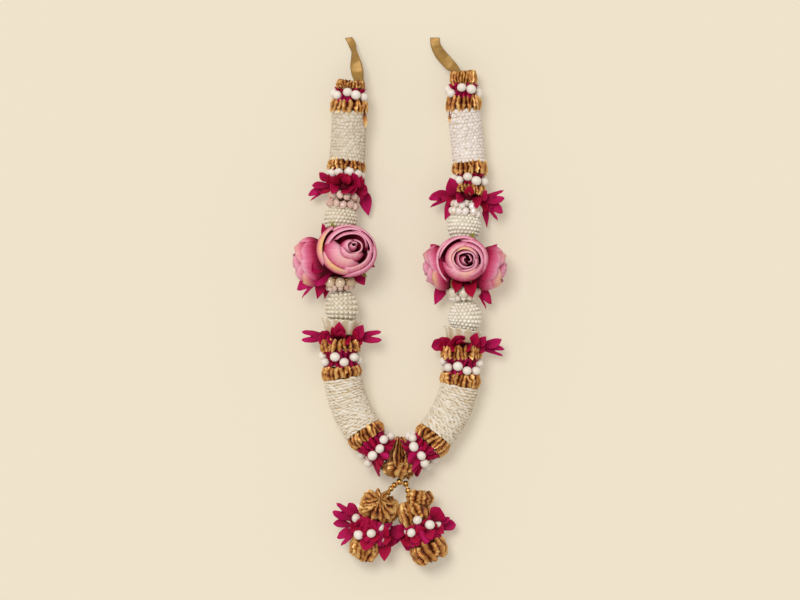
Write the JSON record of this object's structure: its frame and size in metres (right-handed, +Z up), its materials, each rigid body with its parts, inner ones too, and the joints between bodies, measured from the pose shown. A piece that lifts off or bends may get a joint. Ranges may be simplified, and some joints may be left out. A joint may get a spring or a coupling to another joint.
{
  "type": "rose garland",
  "caption": "Artificial garland laid flat: strands of cloth roses, petals, pearl balls and bud tubes with gold ruffles, joined above hanging pompons, with ribbon ties.",
  "frame": {"origin": "on the surface that the garland lies on, under the middle of its bounding box", "axes": "+Y along the garland towards its ribbon ties, +X across it towards the right strand, +Z up off the surface, towards the side that is seen"},
  "size_m": [0.2371, 0.5807, 0.0694],
  "materials": {
    "gold_tissue": "crinkled gold tissue ribbon, folded into pleats",
    "gold_ribbon": "smooth gold satin ribbon",
    "gold_beads": "metallised gold beads on a thread",
    "magenta_cloth": "deep magenta cloth petals with a velvety face",
    "white_beads": "off-white satin beads",
    "white_buds": "rows of small off-white cloth buds",
    "pearls": "glossy ivory pearls",
    "crystals": "clear faceted drops",
    "rose_cloth": "pink cloth petals shading to deep magenta, with yellow-orange edges",
    "cord_fibre": "twisted cotton cord"
  },
  "bodies": {
    "root": {"left_ribbon_tie": "gold_ribbon", "left_top_ruffles": "gold_tissue", "left_b_ruffles": "gold_tissue", "left_c_ruffles": "gold_tissue", "left_d_ruffle": "gold_tissue", "left_pompon_ruffles": "gold_tissue", "left_top_frill": "magenta_cloth", "left_b_frill": "magenta_cloth", "left_c_frill": "magenta_cloth", "left_d_frill": "magenta_cloth", "left_upper_petals": "magenta_cloth", "left_rose_petals": "magenta_cloth", "left_lower_petals": "magenta_cloth", "left_pompon_petals": "magenta_cloth", "left_top_beads": "white_beads", "left_b_beads": "white_beads", "left_c_beads": "white_beads", "left_d_beads": "white_beads", "left_pompon_beads": "white_beads", "left_upper_tube": "white_buds", "left_lower_tube": "white_buds", "left_upper_pearl_ball": "pearls", "left_lower_pearl_ball": "pearls", "left_pearl_ring": "pearls", "left_crystal_cluster": "crystals", "left_crystal_cup": "crystals", "left_rose_front": "rose_cloth", "right_ribbon_tie": "gold_ribbon", "right_top_ruffles": "gold_tissue", "right_b_ruffles": "gold_tissue", "right_c_ruffles": "gold_tissue", "right_d_ruffle": "gold_tissue", "right_pompon_ruffles": "gold_tissue", "right_top_frill": "magenta_cloth", "right_b_frill": "magenta_cloth", "right_c_frill": "magenta_cloth", "right_d_frill": "magenta_cloth", "right_upper_petals": "magenta_cloth", "right_rose_petals": "magenta_cloth", "right_lower_petals": "magenta_cloth", "right_pompon_petals": "magenta_cloth", "right_top_beads": "white_beads", "right_b_beads": "white_beads", "right_c_beads": "white_beads", "right_d_beads": "white_beads", "right_pompon_beads": "white_beads", "right_upper_tube": "white_buds", "right_lower_tube": "white_buds", "right_upper_pearl_ball": "pearls", "right_lower_pearl_ball": "pearls", "right_pearl_ring": "pearls", "right_crystal_cluster": "crystals", "right_crystal_cup": "crystals", "right_rose_front": "rose_cloth", "left_rose_side": "rose_cloth", "right_rose_inner": "rose_cloth", "right_rose_outer": "rose_cloth", "core_cord": "cord_fibre", "centre_ruffle": "gold_tissue", "gold_bead_string": "gold_beads"}
  },
  "joints": []
}
